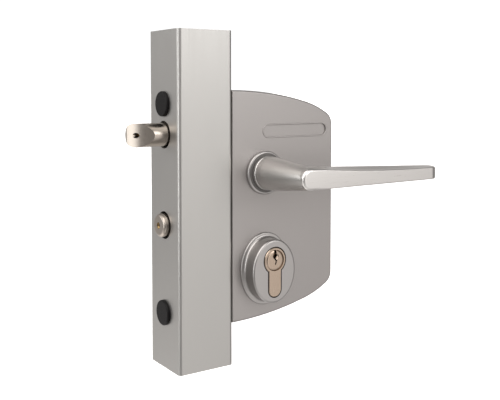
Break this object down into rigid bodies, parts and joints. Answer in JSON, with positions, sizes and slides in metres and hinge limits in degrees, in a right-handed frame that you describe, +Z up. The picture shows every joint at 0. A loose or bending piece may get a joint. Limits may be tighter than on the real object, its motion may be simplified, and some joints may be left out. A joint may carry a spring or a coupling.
{
  "type": "gate lock",
  "caption": "Lock for a square gate tube: slim cast casing, lever handle on each side, sprung bevelled latch, key-driven deadbolt and profile cylinder.",
  "frame": {"origin": "centre of the gate tube's lower cut end", "axes": "+Z up along the tube; +X from the tube towards the lock's casing, so the bolts shoot towards -X; +Y from the near side, where the latch's bevel and the blank name recess are, to the far side"},
  "size_m": [0.2024, 0.144, 0.22],
  "materials": {
    "tube_alu": "satin silver anodised extrusion, fine vertical lines",
    "cover_coat": "silver-grey polyester powder coat on cast aluminium, fine grain",
    "handle_alu": "satin brushed and anodised cast aluminium",
    "rosette_alu": "satin anodised turned aluminium",
    "cap_black": "black moulded nylon, satin",
    "bolt_steel": "turned stainless steel, warm grey",
    "screw_steel": "bright zinc-plated steel",
    "case_steel": "pressed stainless steel sheet",
    "screw_brass": "bare turned brass",
    "cylinder_nickel": "brass with champagne nickel plating, finely brushed",
    "spring_steel": "drawn spring wire",
    "bush_nylon": "dark grey moulded nylon"
  },
  "bodies": {
    "lock_case": {"gate_tube": "tube_alu", "lower_hole_cap": "cap_black", "upper_hole_cap": "cap_black", "fixing_screws": "screw_steel", "fixing_washers": "screw_steel", "front_cover": "cover_coat", "rear_cover": "cover_coat", "cover_screws": "screw_steel", "face_plate": "case_steel", "case_plate_near": "case_steel", "case_plate_far": "case_steel", "case_pillars": "case_steel", "case_screws": "screw_steel", "latch_bush": "bush_nylon", "deadbolt_bush": "bush_nylon", "spring_stop": "case_steel", "latch_spring": "spring_steel", "handle_spring": "spring_steel", "detent_spring": "spring_steel", "cylinder_body": "cylinder_nickel", "cylinder_screw": "screw_steel", "front_rosette": "rosette_alu", "rear_rosette": "rosette_alu", "rosette_screws": "screw_steel", "front_handle_ring": "rosette_alu", "rear_handle_ring": "rosette_alu", "front_handle_bush": "bush_nylon", "rear_handle_bush": "bush_nylon"},
    "handles": {"front_handle": "handle_alu", "rear_handle": "handle_alu", "spindle": "screw_steel", "follower": "case_steel", "front_handle_screw": "screw_steel", "rear_handle_screw": "screw_steel"},
    "latch": {"latch_bolt": "bolt_steel", "latch_screw": "screw_brass"},
    "deadbolt_unit": {"deadbolt": "bolt_steel", "deadbolt_screw": "screw_brass", "deadbolt_tail": "case_steel", "tail_pin": "case_steel"},
    "key_plugs": {"front_plug": "cylinder_nickel", "rear_plug": "cylinder_nickel", "cylinder_cam": "case_steel"}
  },
  "joints": [
    {"name": "handle_turn", "type": "hinge", "parent": "lock_case", "child": "handles", "pos_m": [0.0455, 0, 0.126], "axis": [0, 1, 0], "range_deg": [0, 45], "stiffness_Nm_per_rad": 0.8, "springref_deg": -34.38, "deforming": ["handle_spring"]},
    {"name": "latch_slide", "type": "slide", "parent": "lock_case", "child": "latch", "axis": [1, 0, 0], "range_m": [0, 0.02], "stiffness_N_per_m": 500, "springref_m": -0.01, "deforming": ["latch_spring"]},
    {"name": "key_turn", "type": "hinge", "parent": "lock_case", "child": "key_plugs", "pos_m": [0.0455, 0, 0.0686], "axis": [0, -1, 0], "range_deg": [0, 360]},
    {"name": "deadbolt_slide", "type": "slide", "parent": "lock_case", "child": "deadbolt_unit", "axis": [-1, 0, 0], "range_m": [0, 0.016], "deforming": ["detent_spring"]}
  ],
  "couplings": [
    {"joint": "latch_slide", "follows": "handle_turn", "m_per_rad": 0.02546},
    {"joint": "key_turn", "follows": "deadbolt_slide", "rad_per_m": 392.69}
  ]
}
